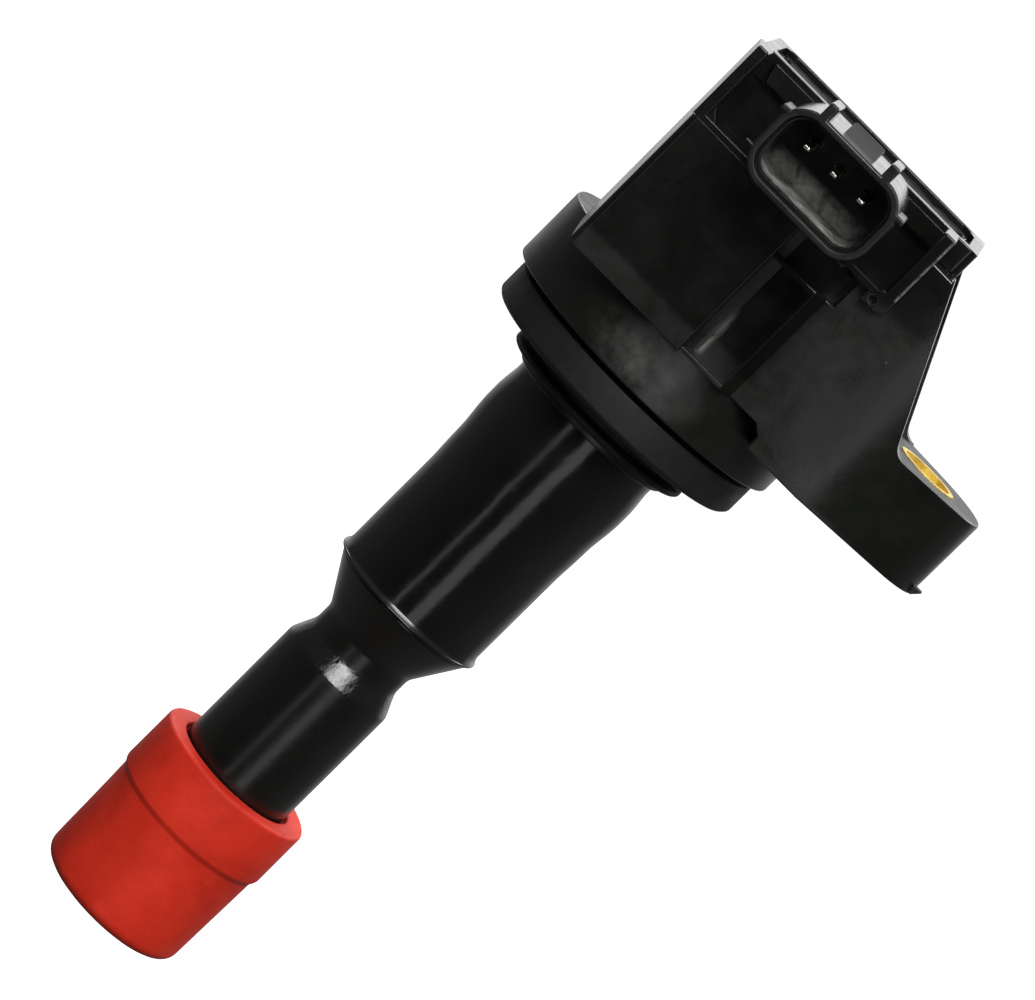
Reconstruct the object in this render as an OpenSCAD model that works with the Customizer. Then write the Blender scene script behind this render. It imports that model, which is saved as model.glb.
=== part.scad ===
// Coil-on-plug ignition coil for one cylinder.
// +Z runs up the coil's axis from the spark plug to the head, -Y is the connector's side and +X the
// mounting ear's side. The origin is the centre of the boot's mouth, where the spark plug goes in.

/* [Plug boot] */
// Height of the boot
boot_h = 21.8; // [20:0.1:24]
// Radius of the boot's upper collar
boot_collar_r = 10.4; // [10.2:0.1:11]
// Height of the collar's lower edge
boot_collar_z = 14.4; // [13.5:0.1:15]
// Height of the step under the collar
boot_step_h = 0.7; // [0.3:0.1:1.2]
// Radius of the boot just under the collar
boot_waist_r = 10.0; // [9.8:0.1:10.1]
// Radius of the boot near its mouth
boot_mouth_r = 9.75; // [9.6:0.05:9.9]
// Rounding of the boot's lower edge
boot_round = 1.6; // [0.8:0.1:2]
// Radius of the bore that grips the spark plug's insulator
plug_bore_r = 5.2; // [5:0.05:5.3]
// Depth of that bore, up to the extension tube
plug_bore_h = 11; // [10:0.1:12]

/* [Extension tube] */
// Outer radius of the straight lower tube
tube_r = 7.5; // [7.4:0.05:7.6]
// Height at which the lower cone starts
lower_cone_z = 38.4; // [37:0.1:39]
// Lower and upper height of the neck
neck_z = [41.3, 43.6]; // [40:0.1:46]
// Radius of the neck
neck_r = 6.2; // [5.8:0.05:6.5]
// Radius of the upper cone's wide end
cone_r = 9.75; // [9.6:0.05:9.8]
// Radius of the long bore for the insulator, the cap and the spring
long_bore_r = 5.8; // [5.6:0.05:6]
// Radius of the bore round the resistor
resistor_bore_r = 2.9; // [2.8:0.05:3.2]

/* [Upper sleeve] */
// Height of the sleeve's lower end
sleeve_z = 49.8; // [49.6:0.1:50]
// Main outer radius of the sleeve
sleeve_r = 9.87; // [9.8:0.01:10]
// Outer radius of the lip at its lower end
lip_r = 10.3; // [10.1:0.01:10.4]
// Outer radius of the bulge in its upper half
bulge_r = 10.42; // [10.3:0.01:10.6]
// Inner radius of the sleeve, and of the passage up to the head
passage_r = 9.0; // [8.95:0.01:9.05]

/* [Seal ring] */
// Outer radius of the sealing rib
seal_r = 17.9; // [17.5:0.1:18.2]
// Lower and upper height of the sealing rib
seal_rib_z = [82.8, 86.9]; // [82:0.1:87.2]
// Outer radius of the small lower lip
seal_lip_r = 12.8; // [12.4:0.1:13.2]

/* [Flange and spigot] */
// Radius of the round flange
flange_r = 19.1; // [18.8:0.1:19.4]
// Lower and upper height of the flange
flange_z = [87.7, 96.8]; // [87:0.1:98]
// Radius of the spigot under the flange
spigot_r = 10.95; // [10.9:0.05:11.1]
// Height of the spigot's lower end
spigot_z = 79.2; // [79:0.1:79.5]

/* [Head case] */
// Left and right side of the case's rim
rim_x = [-15.8, 16.97]; // [-17:0.01:18]
// Front and back of the case's rim
rim_y = [-11.2, 9.5]; // [-12:0.1:10]
// Height of the case's open top
top_z = 123.9; // [123.5:0.1:124]
// Height of the rim band
rim_h = 3.3; // [3:0.1:3.5]
// How far the rim stands out from the case's walls
rim_out = 0.4; // [0.3:0.05:0.5]
// Thickness of the case's walls
wall = 1.6; // [1.5:0.05:1.8]
// Height of the floor inside the case
floor_z = 96.4; // [96:0.1:96.5]
// How far the potting resin lies below the case's top
resin_drop = 1.3; // [1:0.1:1.6]

/* [Igniter bay] */
// Front of the bay
bay_y = -19.6; // [-19.8:0.05:-19.4]
// Left side of the bay at its front and where it meets the case
bay_left = [-15.5, -16.35]; // [-16.5:0.05:-15.3]
// Right side of the bay at its front
bay_right = 1.35; // [1.2:0.05:1.5]
// Right side of the bay where it meets the case
bay_right_back = 3.1; // [3:0.05:3.2]
// Height of the bay's lower edge
bay_z = 94.6; // [94.4:0.1:94.8]

/* [Connector] */
// Front of the connector's mouth
mouth_y = -30; // [-31:0.1:-29]
// Outer width and height of the connector's shell
shell_size = [16.6, 10.1]; // [9:0.1:18]
// Rounding of the shell's outer corners
shell_round = 3.5; // [3:0.1:3.8]
// Middle of the shell, sideways and upwards
shell_at = [-0.1, 119.1]; // [-1:0.1:120]
// Thickness of the shell
shell_wall = 0.85; // [0.8:0.05:0.95]
// Distance between terminals
pitch = 4.0; // [3.8:0.05:4.1]
// Width and height of a terminal pin
pin_size = [1.0, 0.64]; // [0.5:0.02:1.5]
// Height of the terminals
pin_z = 120.3; // [120:0.1:120.5]
// Front end of the terminal pins
pin_tip_y = -26; // [-27:0.1:-25]
// Front of the surround's walls and ledge
surround_y = -18.6; // [-18.8:0.1:-18.4]

/* [Mounting ear] */
// Middle of the bolt hole
bolt_at = [30.2, -4.5]; // [-6:0.1:32]
// Radius of the hole through the bush
bush_bore_r = 3.3; // [3.2:0.05:3.4]
// Outer radius of the bush
bush_r = 3.95; // [3.8:0.05:4.1]
// How far the bush stands out of the ear at each end
bush_proud = 0.1; // [0.05:0.05:0.15]
// Radius of the ear's round end
ear_r = 8.2; // [7.8:0.1:8.4]
// Lower and upper face of the ear
ear_z = [92, 102.65]; // [90:0.05:104]
// Front face of the gusset
gusset_y = -17.2; // [-17.4:0.05:-17.1]
// Thickness of the gusset's webs
web = 2.8; // [2.4:0.1:3]

/* [Magnetic circuit and windings] */
// Lower and upper height of the bobbins
bobbin_z = [57.2, 96.3]; // [56:0.1:96.3]
// Radius of the laminated centre core
core_r = 3.2; // [3:0.05:3.25]
// Number of laminations across the centre core
laminations = 9; // [7:2:13]
// Number of chambers in the secondary bobbin
chambers = 12; // [8:1:14]
// Inner and outer radius of the outer core
outer_core_r = [8.25, 8.75]; // [8:0.05:8.8]

/* [High-voltage contact] */
// Radius of the suppression resistor
resistor_r = 2.4; // [2.2:0.05:2.6]
// Lower end of the resistor
resistor_z = 44.2; // [44:0.1:44.5]
// Length of the resistor
resistor_h = 11; // [10.5:0.1:11.2]
// Outer radius of the long contact spring
spring_r = 2.7; // [2.5:0.05:2.8]
// Radius of the spring's wire
spring_wire_r = 0.35; // [0.3:0.05:0.4]
// Number of turns
spring_turns = 9; // [7:1:11]
// Lower end of the contact cap
cap_z = 23; // [22.8:0.1:23.5]
// Height of the contact cap
cap_h = 3.2; // [3:0.1:3.5]

/* [Hidden] */
$fn = 96;
black = "#1b1d1c";
gap = 0.05;                 // clearance between pieces that are pushed together
cut = 1;                    // how far a cutting solid runs past a face

wall_x = [rim_x[0] + rim_out, rim_x[1] - rim_out];
wall_y = [rim_y[0] + rim_out, rim_y[1] - rim_out];
well_x = [wall_x[0] + wall, wall_x[1] - wall];
well_y = [wall_y[0] + wall, wall_y[1] - wall];
resin_z = top_z - resin_drop;
well_lip = 0.5;             // step round the mouth of the resin well
well_lip_z = top_z - 0.9;
tube_end_z = plug_bore_h + 0.1;
tube_top_z = 54.8;          // upper end of the extension tube, inside the sleeve
sleeve_top_z = 86.2;
sleeve_top_r = 10.15;

case_front = wall_y[0] + 0.2;   // how far the front's blocks run back into the case
ledge_z = [113.65, 114.4];  // ledge under the connector
side_wall = 1.6;            // side walls of the surround
surround_right = 14.2;
surround_foot_z = 112.3;
block_z = 120.5;            // top of the block beside the surround
skirt_z = 94.7;             // lower edge of the case's front
skirt_y = -19.2;
skirt_right = 8.9;
crease_x = 21.6;            // where the ear's front face turns back
crease_to_bolt = bolt_at - [crease_x, gusset_y];
// Angle at which the front face then runs back, so that it meets the ear's round end
ear_turn = acos(ear_r / norm(crease_to_bolt)) - atan2(crease_to_bolt[0], crease_to_bolt[1]);

pin_x = [shell_at[0] - pitch, shell_at[0], shell_at[0] + pitch];
leg_y = -8.4;               // the terminals' legs inside the case
link_z = [111.5, 112.1];
link_w = 0.8;
module_x = [-12, -2];
module_y = [-16.6, -12.6];
module_z = [99, 110];
module_leg_y = -14.3;
module_leg_x = [-10.5, -8.5, -6.5];

slot_z = [95.2, 108.9];     // open slot in the case's front
window_z = [109.6, 113.1];  // recess above the slot
rib_x = [-4.9, 4.1];        // ribs on the connector's back
rib_w = 1.2;
rib_top_z = 125.9;
ramp_x = [-2.4, 2];         // lock ramp of the connector
ramp_top_z = 125.8;
bay_top_z = 112.2;          // top of the space for the igniter

spool_r = [6.0, 6.6];       // the primary bobbin's barrel
end_disc = [1, 1.2];        // thickness of its lower and upper end disc
inner_spool_r = [3.35, 4.05];
chamber_rib = 0.5;          // thickness of the ribs between the chambers
inner_spool_z = [bobbin_z[0] + 0.2, bobbin_z[1] - 0.6];
chamber_step = (inner_spool_z[1] - inner_spool_z[0] - chamber_rib) / chambers;
magnet_z = [58.9, 61.7];
cushion_h = [0.9, 1.5];     // thickness of the lower and upper cushion
spring_z = [cap_z + cap_h, resistor_z];
core_z = [61.8, 93.4];

// Left side of the bay and the surround at a distance y from the front
function bay_left_at(y) = bay_left[0] + (bay_left[1] - bay_left[0]) * (y - bay_y) / (case_front - bay_y);

// Point on the circle of radius r round c at angle a
function on_circle(c, r, a) = [c[0] + r * cos(a), c[1] + r * sin(a)];

// Arc of points round c from angle a0 to a1
function arc(c, r, a0, a1, steps = 8) =
    [for (i = [0 : steps]) on_circle(c, r, a0 + (a1 - a0) * i / steps)];

module box(x, y, z) {
    translate([x[0], y[0], z[0]])
        cube([x[1] - x[0], y[1] - y[0], z[1] - z[0]]);
}

// Rectangle with round corners, from a lower to an upper corner
module round_rect(x, y, r) {
    translate([x[0] + r, y[0]])
        square([x[1] - x[0] - 2 * r, y[1] - y[0]]);
    translate([x[0], y[0] + r])
        square([x[1] - x[0], y[1] - y[0] - 2 * r]);
    for (cx = [x[0] + r, x[1] - r])
        for (cy = [y[0] + r, y[1] - r])
            translate([cx, cy])
                circle(r);
}

module round_box(x, y, z, r) {
    translate([0, 0, z[0]])
        linear_extrude(z[1] - z[0])
            round_rect(x, y, r);
}

module ring(r_in, r_out, z) {
    difference() {
        translate([0, 0, z[0]])
            cylinder(h = z[1] - z[0], r = r_out);
        translate([0, 0, z[0] - cut])
            cylinder(h = z[1] - z[0] + 2 * cut, r = r_in);
    }
}

module rod(r, z) {
    translate([0, 0, z[0]])
        cylinder(h = z[1] - z[0], r = r);
}

// Outline in X and Z, given thickness from y[0] to y[1]
module upright(y) {
    translate([0, y[1], 0])
        rotate([90, 0, 0])
            linear_extrude(y[1] - y[0])
                children();
}

// ---- Head ----

module connector_outline(inset) {
    half = shell_size / 2;
    round_rect([shell_at[0] - half[0] + inset, shell_at[0] + half[0] - inset],
        [shell_at[1] - half[1] + inset, shell_at[1] + half[1] - inset], shell_round - inset);
}

module connector_shell() {
    shell_top = shell_at[1] + shell_size[1] / 2;
    left = shell_at[0] - shell_size[0] / 2;
    right = shell_at[0] + shell_size[0] / 2;
    root = shell_wall - 0.15;   // how deep the ribs start in the shell's wall
    upright([mouth_y, case_front])
        connector_outline(0);
    for (x = rib_x)
        box([x - rib_w / 2, x + rib_w / 2], [mouth_y, mouth_y + 9.4], [shell_top - 0.6, rib_top_z]);
    // lock ramp
    translate([ramp_x[0], 0, 0])
        rotate([90, 0, 90])
            linear_extrude(ramp_x[1] - ramp_x[0])
                polygon([[-28.8, shell_top - 0.5], [-28.8, shell_top], [-24.8, ramp_top_z],
                    [-23.6, ramp_top_z], [-23.6, shell_top - 0.5]]);
    // keying ribs at the sides
    box([left - 0.6, left + root], [mouth_y, mouth_y + 7], [121.5, 122.3]);
    box([right - root, right + 0.6], [mouth_y, mouth_y + 7], [121.6, 122.4]);
    box([left - 0.8, left + root], [mouth_y, mouth_y + 1.2], [116.6, 116.9]);
}

module connector_cavity() {
    shoulder_y = mouth_y + 1.5;
    upright([mouth_y - cut, shoulder_y])
        connector_outline(shell_wall);
    upright([shoulder_y - 0.1, mouth_y + 15.5])
        connector_outline(shell_wall + 0.4);
}

// Block in front of the case, whose left side follows the bay's draft
module left_block(right, front, z) {
    translate([0, 0, z[0]])
        linear_extrude(z[1] - z[0])
            polygon([[bay_left_at(front), front], [right, front], [right, case_front],
                [bay_left[1], case_front]]);
}

// Walls and ledge round the connector, and the plate behind it
module surround() {
    foot_r = 1.3;
    foot_z = surround_foot_z + foot_r;
    hook = 1.8;             // reach of the foot below the ledge
    plate_z = [120.9, 123.2];
    corner_z = [ledge_z[1] - 0.1, 116.1];
    left_block(rim_x[0] + side_wall, surround_y, [ledge_z[0], top_z]);
    left_block(surround_right, surround_y, ledge_z);
    upright([surround_y, case_front]) {
        translate([surround_right - side_wall, foot_z])
            square([side_wall, top_z - foot_z]);
        translate([surround_right - foot_r - hook, foot_z])
            square([foot_r + hook, ledge_z[0] - foot_z + 0.1]);
        translate([surround_right - foot_r, foot_z])
            circle(foot_r);
        translate([surround_right - foot_r - hook, surround_foot_z])
            square([hook, 2]);
    }
    // plate under the rim
    upright([-12.4, case_front])
        polygon([[-13.3, plate_z[1]], [-12.7, plate_z[0]], [surround_right - 1, plate_z[0]],
            [surround_right - 1, plate_z[1]]]);
    // corner piece
    upright([surround_y + 0.6, case_front])
        polygon([[rim_x[0] + 1, corner_z[0]], [-12.8, corner_z[0]], [-14.4, corner_z[1]],
            [rim_x[0] + 1, corner_z[1]]]);
}

module igniter_bay() {
    edge = 0.8;             // rounding of the front's left edge
    foot = 2.4;             // rounding of the lower left corner
    left = bay_left[0];
    width = bay_right_back - bay_left[1] + cut;
    z = [bay_z, ledge_z[0] + 0.1];
    intersection() {
        translate([0, 0, z[0]])
            linear_extrude(z[1] - z[0]) {
                translate([left + edge, bay_y + edge])
                    circle(edge);
                polygon([[left + edge, bay_y], [bay_right, bay_y], [bay_right_back, case_front],
                    [bay_left[1], case_front], [left, bay_y + edge], [left + edge, bay_y + edge]]);
            }
        upright([bay_y - cut, case_front + cut]) {
            translate([bay_left[1] + foot, z[0]])
                square([width, foot + 1]);
            translate([bay_left[1], z[0] + foot])
                square([width, z[1] - z[0]]);
            translate([bay_left[1] + foot, z[0] + foot])
                circle(foot);
        }
    }
}

// The case's front between the bay and the gusset
module skirt() {
    translate([0, 0, skirt_z])
        linear_extrude(ledge_z[0] + 0.1 - skirt_z)
            polygon([[bay_right, skirt_y], [7.5, skirt_y], [skirt_right, gusset_y],
                [skirt_right, case_front], [bay_right, case_front]]);
    box([skirt_right - 0.1, rim_x[1]], [gusset_y, case_front], [skirt_z, ledge_z[0] + 0.1]);
    box([surround_right - 0.1, rim_x[1]], [gusset_y, case_front], [skirt_z, block_z]);
}

// Slot and window in the skirt
module skirt_recesses() {
    slot_back = -12;
    slot_right = 7.4;
    window_back = -14;
    window_right = 9.8;
    translate([0, 0, slot_z[0]])
        linear_extrude(slot_z[1] - slot_z[0])
            polygon([[bay_right - 0.16, bay_y - cut], [bay_right, bay_y], [bay_right_back - 0.25, slot_back],
                [slot_right, slot_back], [slot_right, bay_y - cut]]);
    translate([0, 0, window_z[0]])
        linear_extrude(window_z[1] - window_z[0])
            polygon([[bay_right - 0.16, bay_y - cut], [bay_right, bay_y], [bay_right_back - 0.6, window_back],
                [window_right, window_back], [window_right, gusset_y - 0.1],
                [window_right + 0.4, gusset_y - cut], [window_right + 0.4, bay_y - cut]]);
}

// The ear's outline seen from above
module ear_outline() {
    back_turn = 15;
    front_touch = bolt_at + ear_r * [sin(ear_turn), -cos(ear_turn)];
    back_touch = bolt_at + ear_r * [sin(back_turn), cos(back_turn)];
    root_x = 14;
    translate(bolt_at)
        circle(ear_r);
    polygon([[root_x, gusset_y], [crease_x, gusset_y], front_touch, bolt_at, back_touch,
        [root_x, back_touch[1] + (back_touch[0] - root_x) * tan(back_turn)]]);
}

// Side outline of the gusset's webs, from the case down to the ear
module web_outline() {
    slope_top = [rim_x[1], 120.9];
    fillet_r = 2.2;
    fillet_at = [27.35, ear_z[1] + fillet_r];
    polygon(concat([[14.3, ear_z[0] + 1], [14.3, block_z], [rim_x[1], block_z], slope_top],
        arc(fillet_at, fillet_r, 205, 270, 6),
        [[fillet_at[0], ear_z[1] - 0.1], [26, ear_z[0] + 1]]));
}

module gusset() {
    reach = 29;
    step = (reach - crease_x) * tan(ear_turn);
    intersection() {
        upright([gusset_y, 8])
            web_outline();
        union() {
            translate([0, 0, ear_z[0]])
                linear_extrude(40)
                    polygon([[10, gusset_y], [crease_x, gusset_y], [reach, gusset_y + step],
                        [reach, gusset_y + step + web], [crease_x, gusset_y + web], [10, gusset_y + web]]);
            box([10, 30], [4, 4 + web - 0.4], [ear_z[0], 130]);
        }
    }
}

module ear() {
    core_x = [20.2, 25];
    difference() {
        union() {
            translate([0, 0, ear_z[0]])
                linear_extrude(ear_z[1] - ear_z[0])
                    ear_outline();
            gusset();
            // slanted foot of the skirt
            upright([gusset_y, -12])
                polygon([[8.9, skirt_z], [12.7, skirt_z], [16.2, ear_z[0]], [18, ear_z[0]], [18, 100],
                    [8.9, 100]]);
            // gate mark on the ear's end
            upright([bolt_at[1] - 2.6, bolt_at[1] - 1.4])
                polygon([[37.8, 93.2], [39.3, 93.2], [38.3, ear_z[0] + 0.1], [37.8, ear_z[0] + 0.1]]);
        }
        // the ear is cored out from below
        box(core_x, [-13.6, -5.4], [ear_z[0] - cut, 100.6]);
        box(core_x, [-3.8, 3.4], [ear_z[0] - cut, 100.6]);
        translate([bolt_at[0], bolt_at[1], ear_z[0] - cut])
            cylinder(h = ear_z[1] - ear_z[0] + 2 * cut, r = bush_r);
    }
}

// Space inside the head that the resin fills
module head_cavity(top) {
    round_box(well_x, well_y, [floor_z, top], 1.6);
    // igniter bay
    box([rim_x[0] + wall, bay_right - 1.3], [bay_y + 1.4, well_y[0] + cut], [floor_z, bay_top_z]);
    // block beside the surround
    box([10.6, rim_x[1] - wall - 0.3], [gusset_y + wall, well_y[0] + cut], [floor_z, bay_top_z - 0.2]);
}

module housing() {
    color(black)
        difference() {
            union() {
                rod(flange_r, flange_z);
                rod(spigot_r, [spigot_z, flange_z[0] + 0.1]);
                round_box(wall_x, wall_y, [flange_z[1] - 1, top_z - 0.1], 0.9);
                round_box(rim_x, rim_y, [top_z - rim_h, top_z], 1.1);
                igniter_bay();
                skirt();
                surround();
                connector_shell();
                ear();
            }
            connector_cavity();
            skirt_recesses();
            head_cavity(top_z + cut);
            round_box([well_x[0] - well_lip, well_x[1] + well_lip],
                [well_y[0] - well_lip, well_y[1] + well_lip], [well_lip_z, top_z + cut], 2.1);
            // small blind hole under the surround's corner
            translate([12.2, surround_y - cut, 113.2])
                rotate([-90, 0, 0])
                    cylinder(h = 2.2, r = 0.4, $fn = 24);
            // passage for the windings and seat for the sleeve
            rod(passage_r, [spigot_z - cut, floor_z + 0.2]);
            rod(sleeve_top_r, [spigot_z - cut, sleeve_top_z + 0.1]);
            for (x = pin_x)
                terminal(x);
            igniter_links();
        }
}

// Pin with a tapered tip, which runs back through the wall and turns down inside the case
module terminal(x) {
    half = pin_size / 2;
    tip = 0.8;
    color("#c9c3b0") {
        translate([x, 0, pin_z])
            rotate([0, 90, 0])
                translate([0, 0, -half[0]])
                    linear_extrude(pin_size[0])
                        polygon([[-half[1], leg_y + 0.32], [half[1], leg_y + 0.32],
                            [half[1], pin_tip_y + tip], [half[1] * 0.4, pin_tip_y],
                            [-half[1] * 0.4, pin_tip_y], [-half[1], pin_tip_y + tip]]);
        box([x - half[0], x + half[0]], [leg_y - 0.32, leg_y + 0.32], [link_z[1], pin_z]);
    }
}

module terminal_power() {
    terminal(pin_x[0]);
}

module terminal_ground() {
    terminal(pin_x[1]);
}

module terminal_trigger() {
    terminal(pin_x[2]);
}

module mount_bush() {
    color("#d8ab35")
        translate([bolt_at[0], bolt_at[1], 0])
            ring(bush_bore_r, bush_r, [ear_z[0] - bush_proud, ear_z[1] + bush_proud]);
}

// ---- Igniter in the head ----

module igniter_module() {
    leg = 0.6;
    color("#202225") {
        box(module_x, module_y, module_z);
        for (x = module_leg_x)
            box([x - leg / 2, x + leg / 2], [module_leg_y - 0.2, module_leg_y + 0.2],
                [module_z[1] - 0.1, link_z[0]]);
    }
}

module igniter_heat_spreader() {
    color("#b9bcbf")
        difference() {
            box([module_x[0] - 1, module_x[1] + 1], [module_y[0] - 1.3, module_y[0]],
                [floor_z + 0.4, module_z[1] + 0.8]);
            translate([(module_x[0] + module_x[1]) / 2, module_y[0], module_z[1] - 0.6])
                rotate([90, 0, 0])
                    cylinder(h = 3, r = 0.7, center = true);
        }
}

// Flat strips from the terminals' legs to the igniter's legs
module igniter_links() {
    half = link_w / 2;
    color("#c9c3b0")
        translate([0, 0, link_z[0]])
            linear_extrude(link_z[1] - link_z[0])
                for (i = [0 : 2])
                    polygon([[pin_x[i] - half, leg_y + 0.32], [pin_x[i] + half, leg_y + 0.32],
                        [pin_x[i] + half, leg_y - 0.5], [module_leg_x[i] + half, module_leg_y + 0.4],
                        [module_leg_x[i] + half, module_leg_y - 0.4],
                        [module_leg_x[i] - half, module_leg_y - 0.4],
                        [module_leg_x[i] - half, module_leg_y + 0.6], [pin_x[i] - half, leg_y - 0.3]]);
}

// Lead from the igniter's back to a point above the primary bobbin and down to it
module primary_lead(x, drop_y) {
    z = 108.6;
    wire_r = 0.35;
    color("#b5622b") {
        translate([x, module_y[1], z])
            rotate([-90, 0, 0])
                cylinder(h = drop_y - module_y[1], r = wire_r);
        translate([x, drop_y, bobbin_z[1]])
            cylinder(h = z - bobbin_z[1], r = wire_r);
        translate([x, drop_y, z])
            sphere(wire_r + 0.1);
    }
}

module primary_lead_start() {
    primary_lead(-4.6, -5.8);
}

module primary_lead_end() {
    primary_lead(-2.8, -6.9);
}

module potting_resin() {
    color("#2b2c2b")
        difference() {
            head_cavity(resin_z);
            hv_diode();
            igniter_module();
            igniter_heat_spreader();
            igniter_links();
            primary_lead_start();
            primary_lead_end();
            for (x = pin_x)
                terminal(x);
        }
}

// ---- Seal, sleeve and tube ----

module seal_ring() {
    lip_z = [80.1, 80.9];
    inner = spigot_r + gap;
    waist_r = seal_lip_r - 1;       // between the lip and the rib
    neck_out_r = seal_r - 1.1;      // between the rib and the flange
    color("#242625")
        rotate_extrude()
            polygon([[inner, lip_z[0]], [seal_lip_r - 0.3, lip_z[0]], [seal_lip_r, lip_z[0] + 0.3],
                [seal_lip_r, lip_z[1]], [waist_r, lip_z[1] + 0.5], [waist_r, seal_rib_z[0] - 0.6],
                [seal_r - 2, seal_rib_z[0] - 0.25], [seal_r - 0.5, seal_rib_z[0]],
                [seal_r, seal_rib_z[0] + 0.5], [seal_r, seal_rib_z[1]],
                [neck_out_r, seal_rib_z[1] + 0.4], [neck_out_r, flange_z[0]], [inner, flange_z[0]]]);
}

module upper_sleeve() {
    round = 0.2;            // rounding of the lip
    color("#111312")
        rotate_extrude()
            polygon(concat([[passage_r, sleeve_z]],
                arc([lip_r - round, sleeve_z + round], round, -90, 60, 5),
                [[sleeve_r + 0.1, sleeve_z + 0.75], [sleeve_r, sleeve_z + 1.2], [sleeve_r, 64],
                [sleeve_r + 0.12, 66.4], [sleeve_r + 0.2, 69.2], [bulge_r - 0.1, 71.6],
                [bulge_r, 73], [bulge_r, 75.2], [bulge_r - 0.1, 76.4], [sleeve_top_r, 77.8],
                [sleeve_top_r, sleeve_top_z], [passage_r, sleeve_top_z]]));
}

module extension_tube() {
    resistor_bore_z = 42.6;
    clearance_r = resistor_bore_r + 0.6;    // widening under the resistor's bore
    plug_r = passage_r - gap;               // the end that is pushed into the sleeve
    color("#1d1f1e")
        rotate_extrude()
            polygon([[long_bore_r, tube_end_z], [tube_r - 0.4, tube_end_z], [tube_r, tube_end_z + 0.6],
                [tube_r, lower_cone_z], [neck_r, neck_z[0]], [neck_r, neck_z[1]],
                [cone_r, sleeve_z - 0.35], [cone_r, sleeve_z - gap], [plug_r, sleeve_z - gap],
                [plug_r, tube_top_z - 0.6], [plug_r - 0.55, tube_top_z], [resistor_bore_r, tube_top_z],
                [resistor_bore_r, resistor_bore_z], [clearance_r, resistor_bore_z],
                [clearance_r, 41.2], [long_bore_r, 39.4]]);
}

module plug_boot() {
    collar = boot_collar_r;
    rim_bore_r = tube_r + 0.4;      // recess round the tube at the boot's top
    color("#c83a30")
        rotate_extrude()
            polygon(concat([[plug_bore_r, 0]],
                arc([boot_mouth_r - boot_round, boot_round], boot_round, -90, 0),
                [[boot_waist_r, boot_collar_z - boot_step_h], [collar, boot_collar_z]],
                arc([collar - 0.5, boot_h - 0.5], 0.5, 0, 90, 4),
                [[rim_bore_r, boot_h], [rim_bore_r, boot_h - 0.8], [tube_r + gap, boot_h - 1.2],
                [tube_r + gap, plug_bore_h], [plug_bore_r, plug_bore_h]]));
}

// ---- Magnetic circuit and windings ----

// Steel strips of stepped width that fill a round section
module centre_core() {
    sheet = 2 * core_r / laminations;
    color("#7d8084")
        for (i = [0 : laminations - 1]) {
            y0 = -core_r + i * sheet;
            far = max(abs(y0), abs(y0 + sheet));
            half = sqrt(max(core_r * core_r - far * far, 0));
            if (half > 0.2)
                box([-half, half], [y0, y0 + sheet - 0.03], core_z);
        }
}

module core_magnet() {
    color("#55585c")
        rod(core_r - 0.1, magnet_z);
}

module core_cushion_top() {
    color("#4a4c4e")
        rod(core_r - 0.1, [core_z[1] + 0.1, core_z[1] + 0.1 + cushion_h[1]]);
}

module core_cushion_bottom() {
    color("#4a4c4e")
        rod(core_r - 0.1, [magnet_z[0] - 0.1 - cushion_h[0], magnet_z[0] - 0.1]);
}

module secondary_bobbin() {
    rib_r = 5.6;
    floor_h = 0.4;
    z = inner_spool_z;
    color("#d9d4c4") {
        ring(inner_spool_r[0], inner_spool_r[1], z);
        for (i = [0 : chambers])
            let (at = z[0] + i * chamber_step)
                ring(inner_spool_r[0], rib_r, [at, at + chamber_rib]);
        rod(inner_spool_r[1], [z[0], z[0] + floor_h]);
    }
}

module secondary_winding() {
    wire_r = 5.25;          // outer radius of the wound wire
    color("#a4532a")
        for (i = [0 : chambers - 1])
            let (at = inner_spool_z[0] + i * chamber_step)
                ring(inner_spool_r[1], wire_r, [at + chamber_rib, at + chamber_step]);
}

module primary_bobbin() {
    disc_r = 7.95;
    color("#cfc9b8") {
        ring(spool_r[0], spool_r[1], bobbin_z);
        ring(spool_r[0], disc_r, [bobbin_z[0], bobbin_z[0] + end_disc[0]]);
        ring(spool_r[0], disc_r, [bobbin_z[1] - end_disc[1], bobbin_z[1]]);
    }
}

// Two layers of wire, drawn as one ribbed sleeve
module primary_winding() {
    turns = 36;
    wire_r = [7.45, 7.7];   // radius between the turns and on them
    z = [bobbin_z[0] + end_disc[0], bobbin_z[1] - end_disc[1]];
    lay = (z[1] - z[0]) / turns;
    color("#b5622b")
        rotate_extrude()
            polygon(concat([[spool_r[1], z[0]]],
                [for (i = [0 : turns - 1])
                    each [[wire_r[0], z[0] + i * lay], [wire_r[1], z[0] + (i + 0.5) * lay]]],
                [[wire_r[0], z[1]], [spool_r[1], z[1]]]));
}

module outer_core() {
    slit = 1.2;
    color("#8a8d90")
        difference() {
            ring(outer_core_r[0], outer_core_r[1], [bobbin_z[0] + 0.8, bobbin_z[1] - 0.7]);
            translate([0, -slit / 2, 50])
                cube([12, slit, 60]);
        }
}

module hv_diode() {
    color("#2a2a2c")
        translate([0, 2, 107.4])
            rotate([0, 90, 0]) {
                cylinder(h = 6, r = 1.25, center = true);
                cylinder(h = 9, r = 0.35, center = true, $fn = 24);
            }
}

// ---- High-voltage contact ----

module hv_terminal() {
    color("#c9c3b0") {
        rod(3.4, [55.5, 56.1]);
        rod(1.6, [resistor_z + resistor_h, 55.6]);
        rod(1.2, [56, 57.3]);
    }
}

module noise_resistor() {
    end = 1.5;
    z = [resistor_z, resistor_z + resistor_h];
    color("#d8cfc0")
        rod(resistor_r - 0.1, [z[0] + end - 0.1, z[1] - end + 0.1]);
    color("#c9c3b0") {
        rod(resistor_r, [z[0], z[0] + end]);
        rod(resistor_r, [z[1] - end, z[1]]);
    }
}

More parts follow.
